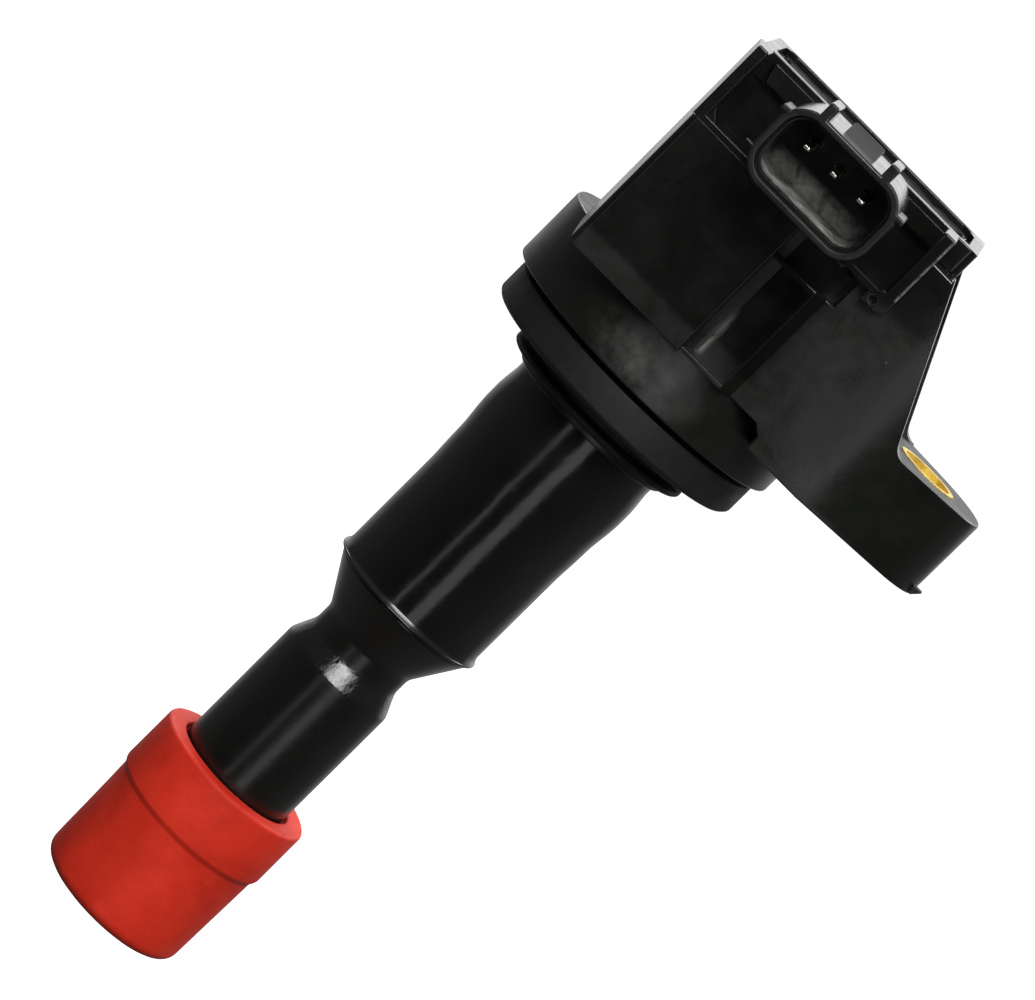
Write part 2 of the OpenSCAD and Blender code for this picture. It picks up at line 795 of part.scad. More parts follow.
// The spring as a row of rings joined by a short strip, where the real one is a helix
module contact_spring() {
    length = spring_z[1] - spring_z[0];
    mid = spring_r - spring_wire_r;
    color("#c4c7c9") {
        for (i = [0 : spring_turns])
            let (at = spring_z[0] + spring_wire_r + i * (length - 2 * spring_wire_r) / spring_turns)
                translate([0, 0, at])
                    rotate_extrude()
                        translate([mid, 0])
                            circle(spring_wire_r, $fn = 24);
        translate([mid - 0.1, -0.15, spring_z[0] + 0.1])
            cube([0.2, 0.3, length - 0.2]);
    }
}

module contact_cap() {
    skirt_r = long_bore_r - 0.35;   // slides in the long bore
    seat_r = 3.4;                   // carries the spring
    recess = 0.7;
    color("#d3d0c4")
        difference() {
            rotate_extrude()
                polygon([[0, cap_z], [3.1, cap_z], [3.6, cap_z + 0.5], [skirt_r, cap_z + 1.4],
                    [skirt_r, cap_z + 2.4], [seat_r, cap_z + 2.4], [seat_r, cap_z + cap_h],
                    [0, cap_z + cap_h]]);
            translate([0, 0, cap_z - cut])
                cylinder(h = cut + recess, r = 2);
        }
}

housing();
potting_resin();
terminal_power();
terminal_ground();
terminal_trigger();
mount_bush();
seal_ring();
upper_sleeve();
extension_tube();
plug_boot();
igniter_module();
igniter_heat_spreader();
igniter_links();
primary_lead_start();
primary_lead_end();
centre_core();
core_magnet();
core_cushion_top();
core_cushion_bottom();
secondary_bobbin();
secondary_winding();
primary_bobbin();
primary_winding();
outer_core();
hv_diode();
hv_terminal();
noise_resistor();
contact_spring();
contact_cap();
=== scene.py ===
"""Looks for a coil-on-plug ignition coil: camera, studio, materials and pieces that replace plain CAD nodes.

Everything is in metres, in the frame of the CAD model: +Z runs up the coil's axis from the spark plug to the
head, -Y is the connector's side and +X the mounting ear's side.
"""

import math

import bmesh
import bpy
from mathutils import Matrix, Vector, noise


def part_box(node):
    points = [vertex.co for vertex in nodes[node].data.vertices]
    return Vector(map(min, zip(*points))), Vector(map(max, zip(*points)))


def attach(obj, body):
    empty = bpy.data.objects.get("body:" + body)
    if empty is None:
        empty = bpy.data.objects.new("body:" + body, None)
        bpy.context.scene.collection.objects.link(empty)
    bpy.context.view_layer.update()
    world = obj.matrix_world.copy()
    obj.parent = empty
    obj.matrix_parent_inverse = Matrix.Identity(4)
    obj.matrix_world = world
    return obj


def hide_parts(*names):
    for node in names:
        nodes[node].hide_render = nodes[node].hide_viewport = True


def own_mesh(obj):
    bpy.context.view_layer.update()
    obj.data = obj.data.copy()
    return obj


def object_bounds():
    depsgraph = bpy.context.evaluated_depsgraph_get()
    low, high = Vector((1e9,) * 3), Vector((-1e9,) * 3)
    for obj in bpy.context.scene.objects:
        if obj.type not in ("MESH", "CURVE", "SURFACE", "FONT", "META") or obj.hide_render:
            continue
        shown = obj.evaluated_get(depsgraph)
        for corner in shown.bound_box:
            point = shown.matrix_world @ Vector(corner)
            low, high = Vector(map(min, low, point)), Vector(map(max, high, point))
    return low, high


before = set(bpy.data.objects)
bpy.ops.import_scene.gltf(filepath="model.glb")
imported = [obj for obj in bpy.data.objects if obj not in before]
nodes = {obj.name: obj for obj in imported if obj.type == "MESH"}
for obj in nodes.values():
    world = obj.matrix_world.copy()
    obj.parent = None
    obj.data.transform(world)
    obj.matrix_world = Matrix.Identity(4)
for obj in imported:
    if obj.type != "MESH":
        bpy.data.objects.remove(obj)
cad_low, cad_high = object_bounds()
scene = bpy.context.scene
MM = 0.001


# ---- Camera ----

def make_camera():
    """Camera at the photograph's angle: a little above the connector's side, with the coil slanting."""
    spot = (7.4 * MM, -542.5 * MM, 164.4 * MM)
    heading = math.radians(0.737)
    pitch = math.radians(-10.17)
    roll = math.radians(45.2)
    data = bpy.data.cameras.new("camera")
    data.sensor_width = 36
    data.lens = 170.4
    data.clip_start = 0.01
    data.clip_end = 100
    camera = bpy.data.objects.new("camera", data)
    turn = (Matrix.Rotation(heading, 3, "Z")
            @ Matrix.Rotation(math.pi / 2 + pitch, 3, "X")
            @ Matrix.Rotation(roll, 3, "Z"))
    camera.matrix_world = Matrix.Translation(spot) @ turn.to_4x4()
    scene.collection.objects.link(camera)
    scene.camera = camera


# ---- Studio ----

def add_softbox(name, aim, azimuth, elevation, size, power, distance=0.9):
    """Area light round the object. Azimuth 0 is the connector's side and 90 the ear's side."""
    turn = math.radians(azimuth)
    rise = math.radians(elevation)
    away = Vector((math.sin(turn) * math.cos(rise), -math.cos(turn) * math.cos(rise), math.sin(rise)))
    data = bpy.data.lights.new(name, "AREA")
    data.shape = "RECTANGLE"
    data.size, data.size_y = size
    data.energy = power
    light = bpy.data.objects.new(name, data)
    light.location = aim + away * distance
    light.rotation_mode = "QUATERNION"
    light.rotation_quaternion = away.to_track_quat("Z", "Y")
    light.visible_camera = False
    scene.collection.objects.link(light)


def make_softboxes():
    """Key light above, two upright strips that shine down the tubes' length, and two lights behind."""
    centre = (cad_low + cad_high) / 2
    add_softbox("key", centre, azimuth=6, elevation=38, size=(0.52, 0.36), power=8)
    add_softbox("strip_left", centre, azimuth=-13, elevation=-2, size=(0.07, 0.9), power=0.24)
    add_softbox("strip_right", centre, azimuth=19, elevation=-2, size=(0.24, 0.9), power=0.8)
    add_softbox("rear_left", centre, azimuth=215, elevation=38, size=(0.5, 0.5), power=4)
    add_softbox("rear_right", centre, azimuth=140, elevation=38, size=(0.5, 0.5), power=4)


def make_world():
    """Dim room with a bright backdrop straight behind the object and a paler ceiling."""
    world = bpy.data.worlds.new("studio")
    scene.world = world
    world.use_nodes = True
    tree = world.node_tree
    tree.nodes.clear()
    direction = tree.nodes.new("ShaderNodeTexCoord")
    split = tree.nodes.new("ShaderNodeSeparateXYZ")
    tree.links.new(direction.outputs["Generated"], split.inputs[0])
    room = spread(tree, split.outputs["Y"], -0.9, 0.1, 0.02, 0.16)
    backdrop = spread(tree, split.outputs["Y"], 0.62, 0.96, 0, 1.38)
    horizon = spread(tree, split.outputs["Z"], -0.16, 0.04, 0.3, 1)
    ceiling = spread(tree, split.outputs["Z"], 0.35, 0.95, 0, 0.35)
    light = plus(tree, room, times(tree, backdrop, horizon))
    background = tree.nodes.new("ShaderNodeBackground")
    tree.links.new(plus(tree, light, ceiling), background.inputs["Strength"])
    output = tree.nodes.new("ShaderNodeOutputWorld")
    tree.links.new(background.outputs["Background"], output.inputs["Surface"])


def make_stage():
    """Pale floor far below the object, and a pale dome. Only the camera sees them."""
    floor_work = bmesh.new()
    bmesh.ops.create_circle(floor_work, cap_ends=True, segments=96, radius=4.6)
    floor = bpy.data.objects.new("floor", finished_mesh(floor_work, "floor"))
    floor.location.z = -0.72
    dome_work = bmesh.new()
    bmesh.ops.create_icosphere(dome_work, subdivisions=5, radius=5)
    dome = bpy.data.objects.new("dome", finished_mesh(dome_work, "dome"))
    for stage_object in (floor, dome):
        stage_object.visible_glossy = False
        stage_object.visible_diffuse = False
        stage_object.visible_shadow = False
        stage_object.visible_transmission = False
        stage_object.data.materials.append(stage_material(stage_object.name))
        scene.collection.objects.link(stage_object)


def stage_material(name):
    """Pale paper that glows a little, so that it stays pale without light."""
    material, tree, shader = new_material(name + "_paper")
    grain = noise_value(tree, 30, detail=6)
    tint = ramp(tree, grain, [(0.3, (0.93, 0.93, 0.93)), (0.7, (0.97, 0.97, 0.965))])
    tree.links.new(tint, shader.inputs["Base Color"])
    tree.links.new(tint, shader.inputs["Emission Color"])
    shader.inputs["Emission Strength"].default_value = 1.06
    shader.inputs["Roughness"].default_value = 0.9
    shader.inputs["Specular IOR Level"].default_value = 0.0
    return material


# ---- Node helpers ----

def new_material(name):
    """Material with an empty shader, its node tree and the shader."""
    material = bpy.data.materials.new(name)
    material.use_nodes = True
    tree = material.node_tree
    tree.nodes.clear()
    output = tree.nodes.new("ShaderNodeOutputMaterial")
    shader = tree.nodes.new("ShaderNodeBsdfPrincipled")
    tree.links.new(shader.outputs["BSDF"], output.inputs["Surface"])
    return material, tree, shader


def place(tree, stretch=(1, 1, 1)):
    """Object coordinates in metres, stretched along the axes."""
    source = tree.nodes.new("ShaderNodeTexCoord")
    mapping = tree.nodes.new("ShaderNodeMapping")
    mapping.inputs["Scale"].default_value = stretch
    tree.links.new(source.outputs["Object"], mapping.inputs["Vector"])
    return mapping.outputs["Vector"]


def noise_value(tree, size, detail=4, roughness=0.55, distortion=0.0, stretch=(1, 1, 1)):
    """Noise from 0 to 1, whose grains are about one metre divided by size."""
    node = tree.nodes.new("ShaderNodeTexNoise")
    node.inputs["Scale"].default_value = size
    node.inputs["Detail"].default_value = detail
    node.inputs["Roughness"].default_value = roughness
    node.inputs["Distortion"].default_value = distortion
    tree.links.new(place(tree, stretch), node.inputs["Vector"])
    return node.outputs["Fac"]


def spots(tree, size, threshold, soft):
    """1 inside small scattered spots and 0 elsewhere."""
    node = tree.nodes.new("ShaderNodeTexVoronoi")
    node.inputs["Scale"].default_value = size
    tree.links.new(place(tree), node.inputs["Vector"])
    return spread(tree, node.outputs["Distance"], threshold + soft, threshold, 0, 1)


def spread(tree, value, from_low, from_high, to_low, to_high):
    """Maps a range of a value to another range, and stays at its ends outside it."""
    node = tree.nodes.new("ShaderNodeMapRange")
    node.inputs["From Min"].default_value = from_low
    node.inputs["From Max"].default_value = from_high
    node.inputs["To Min"].default_value = to_low
    node.inputs["To Max"].default_value = to_high
    tree.links.new(value, node.inputs["Value"])
    return node.outputs["Result"]


def ramp(tree, value, stops):
    """Colours along a value. Stops are (position, (red, green, blue)) in linear light."""
    node = tree.nodes.new("ShaderNodeValToRGB")
    elements = node.color_ramp.elements
    while len(elements) < len(stops):
        elements.new(0.5)
    for element, (position, colour) in zip(elements, stops):
        element.position = position
        element.color = (*colour, 1)
    tree.links.new(value, node.inputs["Fac"])
    return node.outputs["Color"]


def mix_colour(tree, amount, first, second):
    """Mixes two colours, each a socket or a tuple, by a value socket."""
    node = tree.nodes.new("ShaderNodeMix")
    node.data_type = "RGBA"
    tree.links.new(amount, node.inputs["Factor"])
    for name, colour in (("A", first), ("B", second)):
        socket = [s for s in node.inputs if s.name == name and s.type == "RGBA"][0]
        if isinstance(colour, tuple):
            socket.default_value = (*colour, 1)
        else:
            tree.links.new(colour, socket)
    return [s for s in node.outputs if s.type == "RGBA"][0]


def math_value(tree, operation, first, second):
    """Sum, product or the like of two values, each a socket or a number."""
    node = tree.nodes.new("ShaderNodeMath")
    node.operation = operation
    for socket, value in zip(node.inputs, (first, second)):
        if isinstance(value, (int, float)):
            socket.default_value = value
        else:
            tree.links.new(value, socket)
    return node.outputs["Value"]


def plus(tree, first, second):
    return math_value(tree, "ADD", first, second)


def times(tree, first, second):
    return math_value(tree, "MULTIPLY", first, second)


def larger(tree, first, second):
    return math_value(tree, "MAXIMUM", first, second)


def zone(tree, low, high, soft):
    """1 inside a box between two corners and 0 outside, with a soft border. None leaves a side open."""
    split = tree.nodes.new("ShaderNodeSeparateXYZ")
    tree.links.new(place(tree), split.inputs[0])
    inside = None
    for axis, start, end in zip("XYZ", low, high):
        steps = []
        if start is not None:
            steps.append(spread(tree, split.outputs[axis], start - soft, start + soft, 0, 1))
        if end is not None:
            steps.append(spread(tree, split.outputs[axis], end - soft, end + soft, 1, 0))
        for step in steps:
            inside = step if inside is None else times(tree, inside, step)
    return inside


def patch(tree, centre, reach):
    """1 at a point, fading to 0 at the distances of reach along X, Y and Z."""
    shift = tree.nodes.new("ShaderNodeVectorMath")
    shift.operation = "SUBTRACT"
    shift.inputs[1].default_value = centre
    tree.links.new(place(tree), shift.inputs[0])
    shrink = tree.nodes.new("ShaderNodeVectorMath")
    shrink.operation = "DIVIDE"
    shrink.inputs[1].default_value = reach
    tree.links.new(shift.outputs["Vector"], shrink.inputs[0])
    length = tree.nodes.new("ShaderNodeVectorMath")
    length.operation = "LENGTH"
    tree.links.new(shrink.outputs["Vector"], length.inputs[0])
    return spread(tree, length.outputs["Value"], 0.25, 1, 1, 0)


def facing_up(tree):
    """1 on faces that look up and 0 on the others."""
    source = tree.nodes.new("ShaderNodeTexCoord")
    split = tree.nodes.new("ShaderNodeSeparateXYZ")
    tree.links.new(source.outputs["Normal"], split.inputs[0])
    return spread(tree, split.outputs["Z"], 0.75, 0.95, 0, 1)


def mix_value(tree, amount, first, second):
    """Goes from the first value to the second as the amount goes from 0 to 1."""
    return plus(tree, first, times(tree, amount, math_value(tree, "SUBTRACT", second, first)))


def bump(tree, shader, height, distance, before=None):
    """Relief in metres. Gives the normal socket, so that finer relief can follow."""
    node = tree.nodes.new("ShaderNodeBump")
    node.inputs["Distance"].default_value = distance
    node.inputs["Strength"].default_value = 1.0
    tree.links.new(height, node.inputs["Height"])
    if before is not None:
        tree.links.new(before, node.inputs["Normal"])
    tree.links.new(node.outputs["Normal"], shader.inputs["Normal"])
    return node.outputs["Normal"]


# ---- Materials ----

def dusted(tree, tint, amount):
    """The tint with a few pale specks of dust on it, here and there."""
    specks = spots(tree, 420, 0.035, 0.02)
    sparse = spread(tree, noise_value(tree, 130, detail=2), 0.62, 0.70, 0, amount)
    return mix_colour(tree, times(tree, specks, sparse), tint, (0.30, 0.30, 0.27))


def moulded_plastic(name, dark, light, rough, relief=0.012, dust=0.35, swell=0.02):
    """Black moulded plastic: cloudy tint, fine grain, uneven gloss and a few dust specks."""
    material, tree, shader = new_material(name)
    clouds = noise_value(tree, 90, detail=6, roughness=0.6)
    tint = ramp(tree, clouds, [(0.32, dark), (0.68, light)])
    tree.links.new(dusted(tree, tint, dust), shader.inputs["Base Color"])
    worn = noise_value(tree, 207, detail=5, roughness=0.65, distortion=0.6)
    tree.links.new(spread(tree, worn, 0.3, 0.7, rough[0], rough[1]), shader.inputs["Roughness"])
    wide = bump(tree, shader, noise_value(tree, 260, detail=2), swell * MM)
    bump(tree, shader, noise_value(tree, 5200, detail=3), relief * MM, wide)
    shader.inputs["IOR"].default_value = 1.5
    return material


def satin_zone(tree):
    """1 where the case is satin: on the flange and ear, on the gusset and on the connector's mouth."""
    above_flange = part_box("seal_ring")[1].z + 9.6 * MM
    web_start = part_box("terminal_trigger")[1].x + 4.6 * MM
    surround_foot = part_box("igniter_module")[1].z + 1.6 * MM
    behind_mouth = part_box("housing")[0].y + 0.5 * MM
    under = zone(tree, (None, None, None), (None, None, above_flange), 0.4 * MM)
    aside = zone(tree, (web_start, None, None), (None, None, surround_foot), 1.2 * MM)
    mouth = zone(tree, (None, None, None), (None, behind_mouth, None), 0.3 * MM)
    return larger(tree, larger(tree, under, aside), mouth)


def painted_socket_light(tree):
    """Pale smeared patch painted on the floor and back wall inside the connector's socket: painted light
    standing in for light that comes in at the mouth.
    """
    pin_low, pin_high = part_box("terminal_ground")
    low = (pin_low.x - 5.8 * MM, pin_low.y - 1.2 * MM, pin_high.z - 5.8 * MM)
    high = (pin_high.x + 5.8 * MM, pin_low.y + 12 * MM, pin_high.z - 3.4 * MM)
    smears = noise_value(tree, 420, detail=6, roughness=0.7, distortion=0.4)
    return times(tree, zone(tree, low, high, 0.6 * MM), spread(tree, smears, 0.36, 0.62, 0.15, 1))


def painted_slot_highlight(tree):
    """Painted highlight: pale streak at the foot of the slot in the case's front, where the rounded foot
    catches light.
    """
    module_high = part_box("igniter_module")[1]
    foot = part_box("seal_ring")[1].z + 9.2 * MM
    middle = (module_high.x + 4.9 * MM, module_high.y + 0.2 * MM, foot)
    streak = patch(tree, middle, (0.8 * MM, 4 * MM, 5 * MM))
    marks = noise_value(tree, 800, detail=6, roughness=0.75, stretch=(1, 1, 0.3))
    return times(tree, streak, spread(tree, marks, 0.38, 0.62, 0.1, 1))


def painted_flange_glow(tree, slot_highlight):
    """Painted highlight: pale cloud on the front of the flange and round the slot's painted highlight."""
    seal_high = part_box("seal_ring")[1]
    cloud = patch(tree, (0, -seal_high.x, seal_high.z + 2.8 * MM), (9 * MM, 7 * MM, 4 * MM))
    uneven = spread(tree, noise_value(tree, 330, detail=6, roughness=0.65), 0.36, 0.70, 0, 1)
    return times(tree, larger(tree, cloud, slot_highlight), uneven)


def painted_edge_highlight(tree):
    """Painted highlight: pale broken line on the outer edge of the wall on the ear's side of the connector,
    where the edge catches light.
    """
    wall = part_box("terminal_trigger")[1].x + 9.8 * MM
    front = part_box("housing")[0].y + 12 * MM
    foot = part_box("seal_ring")[1].z + 27 * MM
    low = (wall - 0.25 * MM, None, foot)
    high = (wall + 0.1 * MM, front, foot + 10.6 * MM)
    chips = spread(tree, noise_value(tree, 1500, detail=5, roughness=0.7), 0.40, 0.58, 0.25, 1)
    return times(tree, zone(tree, low, high, 0.1 * MM), chips)


def lock_zone(tree):
    """1 on the connector's lock ramp."""
    mouth_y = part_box("housing")[0].y
    pin_low, pin_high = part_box("terminal_ground")
    low = (pin_low.x - 1.9 * MM, mouth_y + 0.9 * MM, pin_high.z + 3.7 * MM)
    high = (pin_high.x + 1.6 * MM, mouth_y + 6.8 * MM, None)
    return zone(tree, low, high, 0.15 * MM)


def case_plastic():
    """The head's black plastic: polished round the connector, satin on the flange and ear, with dust specks,
    handling wear in the gloss, painted highlights and a painted pool of light.
    """
    material, tree, shader = new_material("black_plastic")
    satin = satin_zone(tree)
    socket_light = painted_socket_light(tree)
    slot_highlight = painted_slot_highlight(tree)
    flange_glow = painted_flange_glow(tree, slot_highlight)

    clouds = noise_value(tree, 90, detail=6, roughness=0.6)
    polished = ramp(tree, clouds, [(0.32, (0.0026, 0.0032, 0.0026)), (0.68, (0.0050, 0.0058, 0.0047))])
    brushed = ramp(tree, clouds, [(0.32, (0.0032, 0.0039, 0.0030)), (0.68, (0.0070, 0.0082, 0.0064))])
    tint = mix_colour(tree, satin, polished, brushed)
    # Painted light: a pale pool in the connector's socket, standing in for light that comes in at the mouth.
    tint = mix_colour(tree, socket_light, tint, (0.56, 0.55, 0.52))
    # Painted highlight: a pale cloud on the front of the flange.
    tint = mix_colour(tree, flange_glow, tint, (0.050, 0.052, 0.048))
    # Painted highlight: a pale streak at the foot of the slot.
    tint = mix_colour(tree, slot_highlight, tint, (0.15, 0.155, 0.145))
    # Painted highlight: a pale broken line on the outer edge of a connector wall.
    tint = mix_colour(tree, painted_edge_highlight(tree), tint, (0.16, 0.165, 0.155))
    tree.links.new(dusted(tree, tint, 0.35), shader.inputs["Base Color"])

    worn = noise_value(tree, 210, detail=5, roughness=0.65, distortion=0.6)
    smooth = spread(tree, worn, 0.3, 0.7, 0.13, 0.23)
    rougher = times(tree, spread(tree, worn, 0.3, 0.7, 0.10, 0.16), satin)
    dulled = times(tree, larger(tree, socket_light, flange_glow), 0.3)
    tops = times(tree, times(tree, facing_up(tree), satin), 0.175)
    handled = larger(tree, times(tree, lock_zone(tree), 0.6), tops)
    gloss = plus(tree, plus(tree, plus(tree, smooth, rougher), dulled), handled)
    tree.links.new(gloss, shader.inputs["Roughness"])
    wide = bump(tree, shader, noise_value(tree, 240, detail=2), 0.03 * MM)
    bump(tree, shader, noise_value(tree, 5200, detail=3), 0.010 * MM, wide)
    shader.inputs["IOR"].default_value = 1.5
    return material


def tube_plastic():
    """The extension tube's black plastic: satin, but polished and scuffed on the cone under the neck."""
    material, tree, shader = new_material("tube_plastic")
    clouds = noise_value(tree, 110, detail=6, roughness=0.6)
    tint = ramp(tree, clouds, [(0.32, (0.0030, 0.0036, 0.0030)), (0.68, (0.0058, 0.0067, 0.0055))])
    tree.links.new(tint, shader.inputs["Base Color"])
    boot_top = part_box("plug_boot")[1].z
    cone = zone(tree, (None, None, boot_top + 16.7 * MM), (None, None, boot_top + 19.4 * MM), 0.15 * MM)
    scratches = noise_value(tree, 1000, detail=5, roughness=0.7, stretch=(1, 1, 0.4))
    scuffs = spread(tree, scratches, 0.40, 0.62, 0, 1)
    satin = spread(tree, noise_value(tree, 300, detail=5), 0.3, 0.7, 0.22, 0.30)
    shine = spread(tree, scuffs, 0, 1, 0.07, 0.16)
    tree.links.new(mix_value(tree, cone, satin, shine), shader.inputs["Roughness"])
    wide = bump(tree, shader, times(tree, scuffs, cone), 0.018 * MM)
    bump(tree, shader, noise_value(tree, 5200, detail=3), 0.008 * MM, wide)
    shader.inputs["IOR"].default_value = 1.52
    return material


def potting_resin():
    """Cured resin: glossy, nearly black, with a slow ripple and a few sunken bubbles."""
    material, tree, shader = new_material("resin")
    clouds = noise_value(tree, 140, detail=5)
    tint = ramp(tree, clouds, [(0.35, (0.006, 0.007, 0.006)), (0.7, (0.014, 0.015, 0.013))])
    tree.links.new(tint, shader.inputs["Base Color"])
    gloss = noise_value(tree, 300, detail=4)
    tree.links.new(spread(tree, gloss, 0.3, 0.7, 0.10, 0.24), shader.inputs["Roughness"])
    ripple = bump(tree, shader, noise_value(tree, 110, detail=1), 0.12 * MM)
    bump(tree, shader, spots(tree, 260, 0.12, 0.05), -0.05 * MM, ripple)
    return material


def metal(name, dark, light, rough, size=(1800, 1800, 300), metallic=1.0, spot=None):
    """Metal with streaks along one axis, cloudy tarnish and uneven polish."""
    material, tree, shader = new_material(name)
    streaks = noise_value(tree, 1, detail=5, stretch=size)
    tarnish = noise_value(tree, 420, detail=5, roughness=0.65)
    both = times(tree, streaks, tarnish)
    tint = ramp(tree, both, [(0.14, dark), (0.34, light)])
    if spot is not None:
        marks = spread(tree, noise_value(tree, 900, detail=3), 0.60, 0.72, 0, 0.8)
        tint = mix_colour(tree, marks, tint, spot)
    tree.links.new(tint, shader.inputs["Base Color"])
    tree.links.new(spread(tree, tarnish, 0.3, 0.7, rough[0], rough[1]), shader.inputs["Roughness"])
    bump(tree, shader, streaks, 0.004 * MM)
    shader.inputs["Metallic"].default_value = metallic
    return material


def rubber(name, dark, light, rough, edge=None, shine=0.5):
    """Matte rubber: cloudy tint, bloom, fine grain and a soft sheen."""
    material, tree, shader = new_material(name)
    clouds = noise_value(tree, 120, detail=6, roughness=0.6)
    tint = ramp(tree, clouds, [(0.3, dark), (0.7, light)])
    if edge is not None:
        bloom = spread(tree, noise_value(tree, 340, detail=5, roughness=0.7), 0.52, 0.78, 0, 0.35)
        tint = mix_colour(tree, bloom, tint, edge)
    tree.links.new(tint, shader.inputs["Base Color"])
    uneven = noise_value(tree, 500, detail=5)
    tree.links.new(spread(tree, uneven, 0.3, 0.7, rough[0], rough[1]), shader.inputs["Roughness"])
    wide = bump(tree, shader, noise_value(tree, 300, detail=3), 0.02 * MM)
    bump(tree, shader, noise_value(tree, 6500, detail=3), 0.02 * MM, wide)
    shader.inputs["Specular IOR Level"].default_value = shine
    return material


def winding(name):
    """Enamelled copper wire wound round the axis."""
    material, tree, shader = new_material(name)
    wave = tree.nodes.new("ShaderNodeTexWave")
    wave.bands_direction = "Z"
    wave.inputs["Scale"].default_value = 900
    wave.inputs["Distortion"].default_value = 0.3
    tree.links.new(place(tree), wave.inputs["Vector"])
    clouds = noise_value(tree, 500, detail=5)
    mixed = times(tree, wave.outputs["Fac"], clouds)
    tint = ramp(tree, mixed, [(0.05, (0.22, 0.07, 0.02)), (0.5, (0.72, 0.27, 0.09))])
    tree.links.new(tint, shader.inputs["Base Color"])
    tree.links.new(spread(tree, clouds, 0.3, 0.7, 0.22, 0.42), shader.inputs["Roughness"])
    bump(tree, shader, wave.outputs["Fac"], 0.05 * MM)
    shader.inputs["Metallic"].default_value = 0.85
    return material


def ceramic(name, dark, light):
    """Fired or pressed insulating body with fine pores."""
    material, tree, shader = new_material(name)
    clouds = noise_value(tree, 600, detail=6)
    tree.links.new(ramp(tree, clouds, [(0.3, dark), (0.7, light)]), shader.inputs["Base Color"])
    tree.links.new(spread(tree, clouds, 0.3, 0.7, 0.35, 0.6), shader.inputs["Roughness"])
    bump(tree, shader, noise_value(tree, 4000, detail=3), 0.008 * MM)
    return material


def make_materials():
    """One material for each material slot of the record."""
    return {
        "black_plastic": case_plastic(),
        "tube_plastic": tube_plastic(),
        "resin": potting_resin(),
        "sleeve_plastic": moulded_plastic("sleeve_plastic", (0.0026, 0.0033, 0.0027),
                                          (0.0052, 0.0060, 0.0052), (0.12, 0.20),
                                          relief=0.003, dust=0.8, swell=0.06),
        "module_epoxy": moulded_plastic("module_epoxy", (0.012, 0.013, 0.015), (0.028, 0.029, 0.032),
                                        (0.45, 0.6)),
        "diode_epoxy": moulded_plastic("diode_epoxy", (0.012, 0.012, 0.013), (0.025, 0.025, 0.027),
                                       (0.3, 0.45)),
        "seal_rubber": rubber("seal_rubber", (0.0026, 0.0031, 0.0025), (0.0060, 0.0069, 0.0056),
                              (0.52, 0.72), shine=0.42),
        "red_rubber": rubber("red_rubber", (0.50, 0.019, 0.0075), (0.70, 0.033, 0.0135), (0.50, 0.68),
                             edge=(0.78, 0.060, 0.030), shine=0.22),
        "cushion_rubber": rubber("cushion_rubber", (0.03, 0.031, 0.033), (0.06, 0.061, 0.064), (0.6, 0.8)),
        "tinned_brass": metal("tinned_brass", (0.42, 0.40, 0.34), (0.82, 0.80, 0.74), (0.16, 0.34),
                              size=(400, 4000, 400)),
        "yellow_zinc": metal("yellow_zinc", (0.62, 0.40, 0.05), (0.95, 0.72, 0.14), (0.30, 0.46),
                             metallic=0.4, spot=(0.70, 0.55, 0.20)),
        "spreader_aluminium": metal("spreader_aluminium", (0.48, 0.49, 0.50), (0.78, 0.79, 0.80),
                                    (0.25, 0.4)),
        "core_steel": metal("core_steel", (0.20, 0.21, 0.22), (0.46, 0.47, 0.48), (0.30, 0.5),
                            size=(300, 9000, 60)),
        "magnet": metal("magnet", (0.10, 0.10, 0.11), (0.28, 0.28, 0.30), (0.35, 0.55)),
        "spring_steel": metal("spring_steel", (0.40, 0.41, 0.42), (0.76, 0.77, 0.78), (0.18, 0.32),
                              size=(900, 900, 900)),
        "cap_steel": metal("cap_steel", (0.45, 0.44, 0.38), (0.78, 0.77, 0.70), (0.2, 0.36)),
        "copper_wire": winding("copper_wire"),
        "bobbin_plastic": ceramic("bobbin_plastic", (0.50, 0.46, 0.36), (0.66, 0.62, 0.52)),
        "resistor_body": ceramic("resistor_body", (0.52, 0.48, 0.40), (0.70, 0.66, 0.58)),
    }


# ---- Mesh helpers ----

def finished_mesh(work, name, smooth=False):
    """Mesh made from a bmesh, which is freed."""
    mesh = bpy.data.meshes.new(name)
    work.to_mesh(mesh)
    work.free()
    if smooth:
        mesh.shade_smooth()
    return mesh


def adopt(piece, body, slot, *replaced):
    """Puts a piece into the scene, on a body, with its slot's material, in place of CAD nodes."""
    scene.collection.objects.link(piece)
    piece.data.materials.append(materials[slot])
    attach(piece, body)
    if replaced:
        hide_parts(*replaced)
    return piece


def seam_outline(node):
    """Closed outline (radius, height) of a turned CAD node, taken from its seam on the +X side."""
    work = bmesh.new()
    work.from_mesh(nodes[node].data)
    bmesh.ops.remove_doubles(work, verts=work.verts, dist=1e-6)
    seam = [v for v in work.verts if abs(v.co.y) < 1e-6 and v.co.x > 0]
    inside = set(seam)
    first = min(seam, key=lambda v: (v.co.z, v.co.x))
    outline = [first]
    before = None
    current = first
    while True:
        ahead = [e.other_vert(current) for e in current.link_edges if e.other_vert(current) in inside]
        ahead = [v for v in ahead if v is not before]
        if not ahead:
            break
        following = max(ahead, key=lambda v: v.co.x) if before is None else ahead[0]
        if following is first:
            break
        outline.append(following)
        before, current = current, following
    points = [(v.co.x, v.co.z) for v in outline]
    work.free()
    return points


